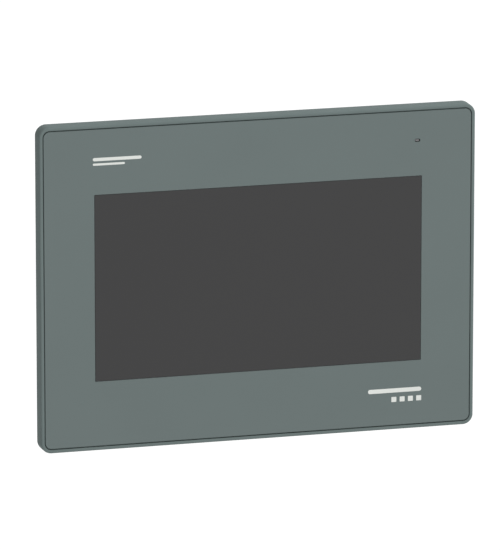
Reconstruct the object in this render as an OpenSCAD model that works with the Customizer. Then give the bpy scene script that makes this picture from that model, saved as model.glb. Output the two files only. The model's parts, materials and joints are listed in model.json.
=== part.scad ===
// Flush-mount operator panel with a seven-inch wide touch display.
// Frame: the origin is the centre of the panel cut-out, in the plane of the control panel's front surface.
// +X is to the right and +Z is up for the operator.
// The operator's side faces -Y and the case goes back along +Y.

/* [Front] */
// Width of the front bezel at its rear edge
front_w = 206.6; // [204:0.1:212]
// Height of the front bezel at its rear edge
front_h = 152.1; // [150:0.1:158]
// How far the bezel stands out of the control panel
front_d = 7.3; // [7.2:0.1:7.6]
// Radius of the bezel's corners
front_r = 5; // [4:0.5:8]
// Draft of the bezel's sides, from the rear edge to the front edge
side_draft = 0.15; // [0:0.05:0.3]
// Rounding of the bezel's front edge
edge_r = 0.8; // [0.5:0.1:1.5]
// Width of the front sheet
sheet_w = 202.15; // [200:0.05:202.2]
// Height of the front sheet
sheet_h = 147.35; // [146:0.05:147.4]
// Gap between the front sheet and the rim round it
sheet_gap = 0.45; // [0.3:0.05:0.5]
// Width of the display window
window_w = 155.2; // [154.2:0.1:156]
// Height of the display window
window_h = 87.1; // [86:0.1:88]

/* [Rear case] */
// Width of the rear case, a little under the cut-out's 192 mm
case_w = 190.4; // [190:0.1:191.2]
// Height of the rear case, a little under the cut-out's 138 mm
case_h = 136.4; // [136:0.1:137.2]
// Depth of the wide part of the case behind the control panel
collar_d = 12; // [12:0.1:12.4]
// Width of the narrower rear housing
hump_w = 176; // [176:0.5:178]
// Height of the narrower rear housing
hump_h = 114; // [114:0.5:115]
// Depth of the whole case behind the control panel
case_d = 29.5; // [29:0.5:34]
// Wall thickness of the case
wall = 2; // [1.8:0.1:2]

/* [Panel clamps] */
// Distance of the clamps from the middle, to the left and right
clamp_x = 50; // [49:0.5:51]
// Gap between the clamp toe and the panel's front surface plane, as drawn
clamp_gap = 2.4; // [2.2:0.1:3]
// Radius of the clamp screw, M4
clamp_screw_r = 2; // [2:0.05:2]

/* [Power plug] */
// Distance between neighbouring terminals
pole_pitch = 5.08; // [5.08:0.01:5.08]
// Place of the power plug across the case
power_x = -72; // [-73:1:-71]

/* [Connectors] */
// Place of the nine-pin serial connector across the case
serial_x = 0; // [-2:1:1]
// Place of the network socket across the case
network_x = 32; // [30:1:33]
// Place of the full-size USB socket across the case
usb_x = 67; // [66:1:68]
// Place of the small USB socket across the case
mini_usb_x = -32; // [-35:1:-28]

/* [Hidden] */
$fn = 48;
eps = 0.01;
fit = 0.1;            // radial clearance of a screw in its hole
screw_r = 1.5;        // M3 screws
screw_hole_r = 1.58;
screw_pass_r = 1.7;   // a hole that an M3 screw goes through freely
screw_head_r = 2.7;
screw_head_h = 1.9;
screw_recess_r = 1.2;
short_screw = 5.4;
front_y = -front_d;
sheet_t = 0.4;
recess_y = front_y + sheet_t;
film_t = 0.2;
glass_t = 1.6;
touch_w = window_w + 12.8;
touch_h = window_h + 12.9;
tail_z = -touch_h / 2;          // edge of the touch glass where its tail leaves
glass_y = recess_y + film_t;
lip_y = glass_y + glass_t;
plate_y = lip_y + 1.2;          // rear of the bezel's front plate
lcd_w = 165;
lcd_h = 100;
lcd_bottom = -lcd_h / 2;
foam_t = 0.8;
lcd_y = plate_y + foam_t;       // front of the display module
lcd_d = 6.1;
lcd_wall = 0.3;
chassis_y = lcd_y + lcd_d + 0.1;
chassis_t = 1;
chassis_back = chassis_y + chassis_t;
board_y = 11;
plug_in_y = board_y - 1.2;      // where the flexes end inside their connectors
board_t = 1.6;
board_back = board_y + board_t;
board_w = 166;
board_h = 104;
seat_step = 0.5;                // the case's rim sits this far into the bezel
collar_w = case_w - 2 * wall - 0.4;
collar_h = case_h - 2 * wall - 0.4;
collar_wall = 1.6;
collar_top = 3.5;
post_x = 88.6;
post_z = 61.8;
post_r = 3.2;
post_y = 5.5;
boss_x = 87;
boss_z = 30;
boss_r = 2.9;
standoff_x = 78;
standoff_top = 47;
standoff_low = -37;
hump_bottom = -hump_h / 2;
inner_back = case_d - wall;
gasket_w = 203;
gasket_h = 148.5;
gasket_band = 3.3;
gasket_t = 1.6;
clamp_z = 62.8;
notch_w = 16.6;
notch_y = 7;
notch_z = 58.2;
jaw_y = 8.3;
jaw_t = 5;
jaw_back = jaw_y + jaw_t;
toe_top = 72.4;
toe_bottom = 68.7;
insert_r = 2.8;
lens_x = 75.4;
lens_z = 60.1;
cover_x = -44;
cover_z = 18;
cover_w = 34;
cover_h = 30;
cell_r = 10;
terminal_z = -64.3;
plug_y = 13;
plug_back = 25.6;
serial_y = 19.5;
jack_pitch = 24.99;
pin_pitch = 2.77;
pin_row = 1.42;
serial_flange_z = hump_bottom - 0.8;
mouth_z = hump_bottom - 0.3;
vent_pitch = 6;
vent_w = 2.4;
vent_length = 12;
vent_start = -72;               // first slot of the row in the upper wall
case_screw_length = 11.5;
label_w = 64;
label_h = 44;
label_x = 30;
label_z = 6;
label_seat = 0.3;
clamp_screw_length = 12;
arm_half = 6;                   // half the width of a clamp's arm
cage_half = 2.1;
terminal_shank_r = 1.2;
terminal_screw_y = 22.6;        // where a terminal screw's head rests

// ---- shared shapes ----

// Points of a rectangle with round corners, centred on the origin
function corner_points(w, h, r, steps = 8) = [
  for (quarter = [0:3], i = [0:steps])
    let (a = 90 * quarter + 90 * i / steps,
         sx = (quarter == 0 || quarter == 3) ? 1 : -1,
         sz = quarter < 2 ? 1 : -1)
      [sx * (w / 2 - r) + r * cos(a), sz * (h / 2 - r) + r * sin(a)]
];

// Rectangular slab parallel to the front, from y0 back to y1, with round corners if r is given
module slab(w, h, y0, y1, r = 0, x = 0, z = 0) {
  translate([x, y1, z])
    rotate([90, 0, 0])
      linear_extrude(y1 - y0)
        if (r > 0) polygon(corner_points(w, h, r)); else square([w, h], center = true);
}

// Block given by its lowest and highest corner
module block(low, high) {
  translate(low) cube(high - low);
}

// Round bar along Y from y0 to y1
module bar_y(r, y0, y1, x = 0, z = 0) {
  translate([x, y1, z]) rotate([90, 0, 0]) cylinder(r = r, h = y1 - y0);
}

// Round bar along Z from z0 to z1
module bar_z(r, z0, z1, x = 0, y = 0) {
  translate([x, y, z0]) cylinder(r = r, h = z1 - z0);
}

// Children repeated at four places, mirrored about the middle
module four(x, z) {
  for (sx = [-1, 1], sz = [-1, 1]) translate([sx * x, 0, sz * z]) children();
}

// Children repeated at the four board fixings
module fixings() {
  for (x = [-standoff_x, standoff_x], z = [standoff_low, standoff_top]) translate([x, 0, z]) children();
}

// Pan-head screw along Y: the head lies behind y, the shank goes forward from it
module pan_screw(r, head_r, head_h, length, y, recess_r) {
  difference() {
    union() {
      bar_y(head_r, y, y + head_h);
      bar_y(r, y - length, y + eps);
    }
    translate([0, y + head_h + eps, 0])
      rotate([90, 0, 0])
        for (a = [0, 90]) rotate([0, 0, a])
          translate([-recess_r, -recess_r / 5, 0]) cube([2 * recess_r, recess_r / 2.5, head_h * 0.55]);
  }
}

module m3_screw(length, y) {
  pan_screw(screw_r, screw_head_r, screw_head_h, length, y, screw_recess_r);
}

// ---- front ----

// Slice of the bezel where its rounded front edge has turned through the angle a
module edge_slice(a) {
  inset = side_draft + edge_r * (1 - sin(a));
  y = front_y + edge_r * (1 - cos(a));
  slab(front_w - 2 * inset, front_h - 2 * inset, y, y + eps, front_r - inset);
}

module front_bezel() {
  color("#6b7776") difference() {
    union() {
      // drafted sides, and a front edge rounded in five steps
      hull() {
        slab(front_w, front_h, -eps, 0, front_r);
        for (i = [0:4]) edge_slice(90 * i / 4);
      }
      // collar, cut away where the clamps are
      difference() {
        slab(collar_w, collar_h, -eps, collar_top, 3);
        for (sx = [-1, 1], sz = [-1, 1])
          slab(notch_w + 5, 12, 0.1, collar_top + 1, 0, sx * clamp_x, sz * collar_h / 2);
      }
      four(post_x, post_z) bar_y(post_r, plate_y - eps, post_y);
    }
    // seat of the front sheet, and the gap round it a little deeper
    slab(sheet_w + 2 * sheet_gap, sheet_h + 2 * sheet_gap, front_y - 1, recess_y, 3);
    difference() {
      slab(sheet_w + 2 * sheet_gap, sheet_h + 2 * sheet_gap, recess_y - 0.1, recess_y + 0.5, 3);
      slab(sheet_w - 0.2, sheet_h - 0.2, recess_y - 0.2, recess_y + 0.6, 2.6);
    }
    // seat of the touch glass, and the opening behind it
    slab(touch_w + 0.4, touch_h + 0.4, recess_y - 1, lip_y);
    slab(window_w + 2.8, window_h + 2.8, lip_y - 1, plate_y + 1);
    // hollow behind the front plate, but for the bosses and posts
    difference() {
      slab(collar_w - 2 * collar_wall, collar_h - 2 * collar_wall, plate_y, collar_top + 1, 2);
      four(boss_x, boss_z) bar_y(boss_r, plate_y - 1, chassis_y);
      // webs that tie the bosses to the collar
      for (sz = [1, -1], sx = [-1, 1])
        slab(4, 6, plate_y - 1, chassis_y, 0, sx * (boss_x + 3.4), sz * boss_z);
      four(post_x, post_z) bar_y(post_r, plate_y - 1, post_y);
    }
    // seat of the case's rim
    difference() {
      slab(case_w + 0.3, case_h + 0.3, -seat_step, 1, 3.2);
      slab(collar_w, collar_h, -1, 2, 3);
    }
    // groove of the panel gasket
    difference() {
      slab(gasket_w, gasket_h, -gasket_t, 1, 3.5);
      slab(gasket_w - 2 * gasket_band, gasket_h - 2 * gasket_band, -gasket_t - 1, 2, 2);
    }
    // screw holes
    four(post_x, post_z) bar_y(screw_hole_r, -2, post_y + 1);
    four(boss_x, boss_z) bar_y(screw_hole_r, -2.5, chassis_y + 1);
    // light pipe and touch tail pass through
    slab(3.6, 2.4, front_y, plate_y + 1, 1.1, lens_x, lens_z);
    block([20, lip_y - 1, tail_z - 2.4], [41, plate_y + 1, tail_z + 1]);
    block([20, recess_y, tail_z - 2.4], [41, lip_y, tail_z - 0.1]);
  }
}

module front_overlay() {
  color("#6b7776") difference() {
    slab(sheet_w, sheet_h, front_y, recess_y, 2.8);
    slab(window_w, window_h, front_y - 1, recess_y + 1);
    slab(2.6, 1.5, front_y - 1, recess_y + 1, 0.7, lens_x, lens_z);
  }
}

module display_window() {
  color("#474747") slab(window_w - 0.06, window_h - 0.06, front_y + 0.03, recess_y);
}

module touch_film() {
  color("#b9c2c4") slab(touch_w, touch_h, recess_y, glass_y);
}

module touch_glass() {
  color("#9fb0b0") slab(touch_w, touch_h, glass_y, lip_y);
}

module status_lens() {
  color("#9b8f8f") {
    slab(2.5, 1.4, front_y + 0.05, recess_y + eps, 0.68, lens_x, lens_z);
    slab(3.4, 2.2, recess_y, -2.7, 1, lens_x, lens_z);
  }
}

module status_led() {
  color("#d8dfa0") block([lens_x - 1, -2.6, lens_z - 0.6], [lens_x + 1, -1.6, lens_z + 0.6]);
}

module indicator_board() {
  color("#2e6b45") block([70, -1.6, 55.6], [83.5, -0.6, 63.6]);
}

module panel_gasket() {
  color("#2f3030") difference() {
    slab(gasket_w - 0.2, gasket_h - 0.2, -gasket_t, -0.02, 3.4);
    slab(gasket_w - 2 * gasket_band + 0.2, gasket_h - 2 * gasket_band + 0.2, -gasket_t - 1, 1, 2.1);
  }
}

// ---- display module ----

module lcd_gasket() {
  color("#262626") difference() {
    slab(lcd_w - 1, lcd_h - 1, plate_y, lcd_y);
    slab(window_w + 3.2, window_h + 3.2, plate_y - 1, lcd_y + 1);
  }
}

module lcd_frame() {
  color("#b8bcbf") difference() {
    slab(lcd_w, lcd_h, lcd_y, lcd_y + lcd_d);
    slab(window_w + 1.6, window_h + 1.6, lcd_y - 1, lcd_y + 1);
    slab(lcd_w - 2 * lcd_wall, lcd_h - 2 * lcd_wall, lcd_y + lcd_wall, lcd_y + lcd_d + 1);
  }
}

module lcd_cell() {
  color("#1f2224") slab(lcd_w - 1.2, lcd_h - 1.2, lcd_y + lcd_wall, lcd_y + 1.7);
}

module light_guide() {
  color("#e6eaec")
    block([-lcd_w / 2 + 0.6, lcd_y + 1.7, lcd_bottom + 4.2], [lcd_w / 2 - 0.6, lcd_y + 5.2, lcd_h / 2 - 0.6]);
}

module backlight_strip() {
  color("#e9e4c8") {
    block([-lcd_w / 2 + 2, lcd_y + 1.9, lcd_bottom + 0.8], [lcd_w / 2 - 2, lcd_y + 5, lcd_bottom + 2]);
    for (i = [-11:11]) translate([i * 6.8, 0, 0])
      block([-1.8, lcd_y + 2.3, lcd_bottom + 2 - eps], [1.8, lcd_y + 4.5, lcd_bottom + 4]);
  }
}

module lcd_tray() {
  color("#c3c6c8") slab(lcd_w - 1, lcd_h - 1, lcd_y + 5.3, lcd_y + lcd_d);
}

// Flat flexes: the touch tail, the display's cable and the indicator's lead
module flex_cables() {
  color("#b8752f") {
    block([22, glass_y - 0.15, tail_z - 1.8], [39, glass_y + 0.05, tail_z - 0.02]);
    block([22, glass_y - 0.15, tail_z - 2], [39, plug_in_y, tail_z - 1.8]);
    block([-25, lcd_y + 5, lcd_bottom - 1.9], [5, plug_in_y, lcd_bottom - 1.7]);
    block([-25, lcd_y + 5, lcd_bottom - 1.9], [5, lcd_y + 5.2, lcd_bottom - 0.05]);
    block([70.5, -0.6, 52.5], [73.5, plug_in_y, 52.7]);
    block([70.5, -0.6, 52.5], [73.5, -0.4, 58]);
  }
}

// Each place gives the connector's middle across and up, and its width
module flex_connectors() {
  places = [[30.5, -50.6, 20], [-10, -50.2, 34], [72, 50.6, 5]];
  color("#e8e3d2") for (p = places)
    block([p[0] - p[2] / 2, board_y - 2.6, p[1] - 1.2], [p[0] + p[2] / 2, board_y, p[1] + 1.2]);
}

// ---- chassis and board ----

module chassis_plate() {
  color("#a9adb0") difference() {
    slab(180, 111, chassis_y, chassis_back, 3);
    four(boss_x, boss_z) bar_y(screw_pass_r, chassis_y - 1, chassis_back + 1);
    fixings() bar_y(screw_hole_r, chassis_y - 1, chassis_back + 1);
    // ways through for the three flexes
    block([19, chassis_y - 1, -60], [42, chassis_back + 1, -49.5]);
    block([-28, chassis_y - 1, -60], [8, chassis_back + 1, -49.5]);
    block([69, chassis_y - 1, 51.5], [75, chassis_back + 1, 60]);
    // slot and window that let warm air through
    slab(120, 4, chassis_y - 1, chassis_back + 1, 1.9, 0, 34);
    slab(60, 40, chassis_y - 1, chassis_back + 1, 4, 0, 0);
  }
}

module chassis_screws() {
  color("#c9ccce") four(boss_x, boss_z) m3_screw(short_screw, chassis_back);
}

module board_standoffs() {
  color("#c8a552") fixings() difference() {
    union() {
      translate([0, board_y, 0]) rotate([90, 0, 0]) cylinder(r = 3.1, h = board_y - chassis_back, $fn = 6);
      bar_y(screw_r, chassis_y, chassis_back + eps);
    }
    bar_y(screw_hole_r, board_y - 4.5, board_y + 1);
  }
}

module main_board() {
  color("#1f6a45") difference() {
    slab(board_w, board_h, board_y, board_back, 2);
    fixings() bar_y(screw_pass_r, board_y - 1, board_back + 1);
  }
}

module board_screws() {
  color("#c9ccce") fixings() m3_screw(short_screw, board_back);
}

module processor_chip() {
  color("#2b2c2e") slab(23, 23, board_back, board_back + 1.7, 0, 2, 12);
}

module memory_chips() {
  color("#2b2c2e") for (x = [28, 42]) slab(9, 13.3, board_back, board_back + 1.1, 0, x, 12);
}

module power_inductors() {
  color("#4a4c4f") for (z = [-8, 8]) slab(12, 12, board_back, board_back + 6, 2, -72, z);
}

module board_capacitors() {
  color("#aeb3b8") for (z = [-28, -18, 24, 34]) bar_y(4, board_back, board_back + 10, -72, z);
}

module battery_holder() {
  color("#2a2a2b") difference() {
    slab(26, 24, board_back, board_back + 5, 1, cover_x, cover_z);
    bar_y(cell_r + 0.2, board_back + 1.2, board_back + 6, cover_x, cover_z);
    slab(5, 30, board_back + 1.2, board_back + 6, 0, cover_x + 8, cover_z);
  }
}

module coin_cell() {
  color("#cfd1d3") {
    bar_y(cell_r - 1.2, board_back + 1.2, board_back + 1.6, cover_x, cover_z);
    bar_y(cell_r, board_back + 1.6 - eps, board_back + 4.4, cover_x, cover_z);
  }
}

module buzzer() {
  color("#242526") difference() {
    bar_y(6, board_back, board_back + 5.5, 66, 26);
    bar_y(1, board_back + 4.5, board_back + 6, 66, 26);
  }
}

// ---- connectors, facing down ----

module power_header() {
  color("#3b7a4c") difference() {
    block([power_x - 9.6, board_back, hump_bottom + 0.1], [power_x + 9.6, plug_back - 0.9, -43]);
    block([power_x - 8.4, plug_y + 1.4, hump_bottom - 1], [power_x + 8.4, plug_back - 2.6, -45]);
  }
  color("#c9ccce") for (i = [-1:1])
    block([power_x + i * pole_pitch - 0.5, 16.9, -54], [power_x + i * pole_pitch + 0.5, 17.9, -45 + eps]);
}

// Box about x on the board's rear, half wide on each side: it reaches from y0 to y1 behind the board,
// and from z0 to z1 above the connectors' mouths
module port_block(x, half, y0, y1, z0, z1) {
  block([x - half, board_back + y0, mouth_z + z0], [x + half, board_back + y1, mouth_z + z1]);
}

module network_socket() {
  color("#b6babd") difference() {
    port_block(network_x, 8, 0.05, 13.4, 0, 21.3);
    port_block(network_x, 5.9, 3.4, 10.2, -1, 13);
    port_block(network_x, 3.1, 1.6, 3.5, -1, 13);
  }
}

module usb_host_socket() {
  color("#b6babd") {
    difference() {
      port_block(usb_x, 6.9, 0.1, 6.6, 0, 14);
      port_block(usb_x, 6.25, 0.75, 5.87, -1, 12);
    }
    port_block(usb_x, 5.2, 3.6, 5.4, 2, 12 + eps);
  }
}

module usb_device_socket() {
  color("#b6babd") difference() {
    translate([mini_usb_x, board_back + 1.85, mouth_z])
      linear_extrude(8) polygon(corner_points(9.4, 3.5, 1.7));
    translate([mini_usb_x, board_back + 1.85, mouth_z - 1])
      linear_extrude(7.5) polygon(corner_points(8.6, 2.7, 1.3));
  }
}

// Outline of the D-shaped shell, w wide at its wide side and h high, with the wide side towards the board
function d_points(w, h, r = 2, steps = 6) = let (
    narrow = w - 2 * h * tan(10),
    ends = [[w / 2 - r * 1.1, -h / 2 + r, -90, -10], [narrow / 2 - r * 0.9, h / 2 - r, -10, 90],
            [-narrow / 2 + r * 0.9, h / 2 - r, 90, 190], [-w / 2 + r * 1.1, -h / 2 + r, 190, 270]])
  [for (e = ends, i = [0:steps])
    let (a = e[2] + (e[3] - e[2]) * i / steps)
      [e[0] + r * cos(a), e[1] + r * sin(a)]];

// The D-shaped outline at the serial connector, h long from z upwards
module d_prism(w, d, r, z, h) {
  translate([serial_x, serial_y, z]) linear_extrude(h) polygon(d_points(w, d, r));
}

// Nine pin places, five in the row towards the board and four in the other
function serial_pin_places() = concat(
  [for (i = [-2:2]) [serial_x + i * pin_pitch, serial_y - pin_row]],
  [for (i = [-1.5:1.5]) [serial_x + i * pin_pitch, serial_y + pin_row]]);

module serial_shell() {
  color("#c4c7ca") difference() {
    union() {
      block([serial_x - 15.4, serial_y - 6.25, serial_flange_z],
            [serial_x + 15.4, serial_y + 6.25, hump_bottom]);
      d_prism(16.9, 8.3, 2, serial_flange_z - 5.8, 6);
    }
    d_prism(16.1, 7.5, 1.7, serial_flange_z - 7, 12);
    for (s = [-1, 1])
      bar_z(1.6, serial_flange_z - 1, hump_bottom + 1, serial_x + s * jack_pitch / 2, serial_y);
  }
}

module serial_insert() {
  color("#1d1e20") difference() {
    union() {
      d_prism(16, 7.4, 1.7, serial_flange_z - 0.4, 3);
      block([serial_x - 9.6, serial_y - 5.2, hump_bottom + 0.1], [serial_x + 9.6, serial_y + 5.2, -46.5]);
    }
    for (p = serial_pin_places()) bar_z(0.52, serial_flange_z - 1, -48, p[0], p[1]);
  }
}

module serial_pins() {
  color("#d9b95c") for (p = serial_pin_places()) {
    bar_z(0.5, serial_flange_z - 5.2, -48, p[0], p[1]);
    translate([p[0], p[1], serial_flange_z - 5.2]) sphere(r = 0.5);
  }
}

module jack_screws() {
  color("#c9ccce") for (s = [-1, 1]) translate([serial_x + s * jack_pitch / 2, serial_y, 0]) difference() {
    union() {
      translate([0, 0, serial_flange_z - 4.8]) cylinder(r = 2.75, h = 4.8, $fn = 6);
      bar_z(1.45, serial_flange_z - eps, hump_bottom + 5);
    }
    bar_z(1.25, serial_flange_z - 5.8, serial_flange_z + 1.6);
  }
}

// ---- rear case ----

// Blocks inside the case that carry the clamp inserts and close the notches
module clamp_blocks() {
  for (sx = [-1, 1], sz = [-1, 1]) {
    z0 = notch_z - wall;
    slab(notch_w + 2 * wall, case_h / 2 - z0, 0.2, collar_d, 0, sx * clamp_x, sz * (z0 + case_h / 2) / 2);
  }
}

// Air slots in the upper wall, in a row along X
module top_vents(count) {
  for (i = [0:count - 1]) translate([vent_start + i * vent_pitch, 20, hump_h / 2 - wall / 2])
    block([-vent_w / 2, -vent_length / 2, -wall], [vent_w / 2, vent_length / 2, wall]);
}

// Air slots in the rear wall, in a row along X
module rear_vents(count) {
  for (i = [0:count - 1])
    slab(vent_w, vent_length, inner_back - 1, case_d + 1, 0, vent_start + 21 + i * vent_pitch, 44);
}

// Opening in the lower wall round x, half wide on each side, from the depth y0 to y1
module port_hole(x, half, y0, y1) {
  block([x - half, y0, hump_bottom - 1], [x + half, y1, hump_bottom + wall + 1]);
}

module rear_case() {
  color("#3a3c3e") difference() {
    union() {
      slab(case_w, case_h, -seat_step, collar_d, 3);
      slab(hump_w, hump_h, collar_d - 1, case_d, 4);
    }
    difference() {
      union() {
        slab(case_w - 2 * wall, case_h - 2 * wall, -seat_step - 1, collar_d - wall, 1.5);
        slab(hump_w - 2 * wall, hump_h - 2 * wall, collar_d - wall - 1, inner_back, 2.5);
      }
      clamp_blocks();
      four(post_x, post_z) bar_y(3.4, post_y + 0.1, collar_d);
    }
    // notches for the clamp jaws and bores for their inserts
    for (sx = [-1, 1], sz = [-1, 1]) {
      slab(notch_w, 14, notch_y, collar_d + 1, 0, sx * clamp_x, sz * (notch_z + 7));
      bar_y(insert_r, -1, notch_y + 1, sx * clamp_x, sz * clamp_z);
    }
    four(post_x, post_z) bar_y(screw_pass_r, post_y - 1, collar_d + 1);
    // connector openings in the lower wall
    port_hole(power_x, 9.9, board_back - 0.3, plug_back + 0.6);
    port_hole(serial_x, 10.2, serial_y - 5.5, serial_y + 5.5);
    for (s = [-1, 1])
      bar_z(1.6, hump_bottom - 1, hump_bottom + wall + 1, serial_x + s * jack_pitch / 2, serial_y);
    port_hole(network_x, 8.3, board_back - 0.2, board_back + 13.7);
    port_hole(usb_x, 7.2, board_back - 0.2, board_back + 6.9);
    port_hole(mini_usb_x, 5.1, board_back - 0.2, board_back + 4);
    // air slots: one row in the upper wall, one at the back
    top_vents(25);
    rear_vents(18);
    // way to the battery
    slab(cover_w, cover_h, inner_back - 1, case_d + 1, 1.5, cover_x, cover_z);
    // shallow seat of the label
    slab(label_w + 0.4, label_h + 0.4, case_d - label_seat, case_d + 1, 1, label_x, label_z);
  }
}

module case_screws() {
  color("#c9ccce") four(post_x, post_z) m3_screw(case_screw_length, collar_d);
}

module clamp_inserts() {
  color("#c8a552") four(clamp_x, clamp_z) difference() {
    bar_y(insert_r, 0.6, notch_y);
    bar_y(clamp_screw_r + fit, 0, notch_y + 1);
  }
}

module rating_label() {
  color("#c9cbc9") slab(label_w, label_h, case_d - label_seat, case_d - 0.12, 1, label_x, label_z);
}

module battery_cover() {
  color("#3a3c3e") difference() {
    union() {
      slab(cover_w - 0.6, cover_h - 0.6, case_d - 1.6, case_d, 1.2, cover_x, cover_z);
      // two snap legs that reach behind the wall
      for (s = [-1, 1])
        slab(8, 1.2, inner_back - 2.2, case_d - 1, 0, cover_x, cover_z + s * (cover_h / 2 - 1.2));
    }
    // finger recess
    slab(12, 3, case_d - 0.7, case_d + 1, 1.4, cover_x, cover_z - cover_h / 2 + 4);
  }
}

// ---- power plug ----

module power_plug() {
  color("#3b7a4c") difference() {
    union() {
      block([power_x - 8, plug_y + 1.8, -56.2], [power_x + 8, plug_back - 3, -46]);
      block([power_x - 8.9, plug_y, -68], [power_x + 8.9, plug_back, hump_bottom - 0.8]);
      block([power_x - 8, plug_y + 1.8, hump_bottom - 1], [power_x + 8, plug_back - 3, -56]);
    }
    // for each pole: header pin, wire cage, contact, and the screw's head and shank
    for (i = [-1:1]) translate([power_x + i * pole_pitch, 0, 0]) {
      block([-0.8, 16.6, -58], [0.8, 18.2, -45]);
      block([-2.25, 13.4, -69], [2.25, 22, -61.6]);
      block([-1.4, 16.9, -61.7], [1.4, 17.9, -57.9]);
      bar_y(2.1, 22.4, plug_back + 1, 0, terminal_z);
      bar_y(1.3, 21, 23, 0, terminal_z);
    }
  }
}

module plug_contacts() {
  color("#c9b27a") for (i = [-1:1]) translate([power_x + i * pole_pitch, 0, 0])
    block([-1.3, 17, -66.9], [1.3, 17.8, -58.1]);
}

module terminal_screw(i) {
  color("#c9ccce") translate([power_x + i * pole_pitch, 0, terminal_z]) difference() {
    union() {
      bar_y(1.9, terminal_screw_y, terminal_screw_y + 1.6);
      bar_y(terminal_shank_r, 17.95, terminal_screw_y + eps);
    }
    block([-2, 23.5, -0.3], [2, 25, 0.3]);
  }
}

module wire_cage(i) {
  color("#b5a05f") translate([power_x + i * pole_pitch, 0, terminal_z]) difference() {
    block([-cage_half, 13.6, -2.3], [cage_half, 19.3, 2.3]);
    block([-1.5, 14.4, -3], [1.5, 18.1, 3]);
    bar_y(terminal_shank_r + 0.08, 17, 20);
  }
}

module terminal_screw_left() { terminal_screw(-1); }
module terminal_screw_middle() { terminal_screw(0); }
module terminal_screw_right() { terminal_screw(1); }
module wire_cage_left() { wire_cage(-1); }
module wire_cage_middle() { wire_cage(0); }
module wire_cage_right() { wire_cage(1); }

// ---- panel clamps ----

// sx is the side and sz is 1 at the top and -1 at the bottom
module clamp_jaw(sx, sz) {
  color("#8f9497") translate([sx * clamp_x, 0, 0]) scale([1, 1, sz]) difference() {
    union() {
      block([-7.9, jaw_y, 58.6], [7.9, jaw_back, 68]);
      block([-arm_half, jaw_y, 67.9], [arm_half, jaw_back, toe_top]);
      block([-arm_half, clamp_gap, toe_bottom], [arm_half, jaw_back, toe_top]);
    }
    bar_y(clamp_screw_r + fit, jaw_y - 1, jaw_back + 1, 0, clamp_z);
    // sloped back of the toe arm
    translate([-7, jaw_back - 4, toe_top]) rotate([-18, 0, 0]) cube([14, 8, 4]);
  }
}

module clamp_screw(sx, sz) {
  color("#c9ccce") translate([sx * clamp_x, 0, sz * clamp_z])
    pan_screw(clamp_screw_r, 3.5, 2.4, clamp_screw_length, jaw_back + 0.05, 1.6);
}

module clamp_jaw_top_left() { clamp_jaw(-1, 1); }
module clamp_jaw_top_right() { clamp_jaw(1, 1); }
module clamp_jaw_bottom_left() { clamp_jaw(-1, -1); }
module clamp_jaw_bottom_right() { clamp_jaw(1, -1); }
module clamp_screw_top_left() { clamp_screw(-1, 1); }
module clamp_screw_top_right() { clamp_screw(1, 1); }
module clamp_screw_bottom_left() { clamp_screw(-1, -1); }
module clamp_screw_bottom_right() { clamp_screw(1, -1); }

front_bezel();
front_overlay();
display_window();
touch_film();
touch_glass();
status_lens();
status_led();
indicator_board();
panel_gasket();
lcd_gasket();
lcd_frame();
lcd_cell();
light_guide();
backlight_strip();
lcd_tray();
flex_cables();
flex_connectors();
chassis_plate();
chassis_screws();
board_standoffs();
main_board();
board_screws();
processor_chip();
memory_chips();
power_inductors();
board_capacitors();
battery_holder();
coin_cell();
buzzer();
power_header();
network_socket();
usb_host_socket();
usb_device_socket();
serial_shell();
serial_insert();
serial_pins();
jack_screws();
rear_case();
case_screws();
clamp_inserts();
rating_label();
battery_cover();
power_plug();
plug_contacts();
terminal_screw_left();
terminal_screw_middle();
terminal_screw_right();
wire_cage_left();
wire_cage_middle();
wire_cage_right();
clamp_jaw_top_left();
clamp_jaw_top_right();
clamp_jaw_bottom_left();
clamp_jaw_bottom_right();
clamp_screw_top_left();
clamp_screw_top_right();
clamp_screw_bottom_left();
clamp_screw_bottom_right();
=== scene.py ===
"""Looks of the flush-mount operator panel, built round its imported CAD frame.

Sizes below are in millimetres unless a comment says otherwise; MM turns them into Blender's metres.
The display faces -Y, +X is to the operator's right and +Z is up.
"""
import json
import math

import bmesh
import bpy
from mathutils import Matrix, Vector


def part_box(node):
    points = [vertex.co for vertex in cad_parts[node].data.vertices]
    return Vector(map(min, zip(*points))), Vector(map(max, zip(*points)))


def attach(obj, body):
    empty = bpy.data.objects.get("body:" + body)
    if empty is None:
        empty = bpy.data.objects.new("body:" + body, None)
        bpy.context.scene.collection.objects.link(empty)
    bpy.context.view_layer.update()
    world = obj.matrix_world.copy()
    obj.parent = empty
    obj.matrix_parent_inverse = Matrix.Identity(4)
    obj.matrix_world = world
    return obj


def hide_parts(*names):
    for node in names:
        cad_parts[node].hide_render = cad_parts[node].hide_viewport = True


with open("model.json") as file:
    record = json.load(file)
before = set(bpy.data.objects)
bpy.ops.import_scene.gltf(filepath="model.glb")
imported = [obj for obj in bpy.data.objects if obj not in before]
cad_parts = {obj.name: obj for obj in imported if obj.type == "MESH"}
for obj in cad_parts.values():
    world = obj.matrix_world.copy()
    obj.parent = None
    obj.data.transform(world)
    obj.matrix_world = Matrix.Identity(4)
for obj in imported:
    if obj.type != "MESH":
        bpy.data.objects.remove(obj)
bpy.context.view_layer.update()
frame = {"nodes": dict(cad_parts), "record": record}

MM = 0.001
UNIT = "panel_unit"
SLOT_OF = {s["node"]: s["material_slot"] for s in frame["record"]["subparts"]}
BODY_OF = {n: b for b, names in frame["record"]["behaviour"]["bodies"].items() for n in names}


def box_mm(node):
    """Lowest and highest corner of a CAD node, in millimetres."""
    low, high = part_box(node)
    return low / MM, high / MM


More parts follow.
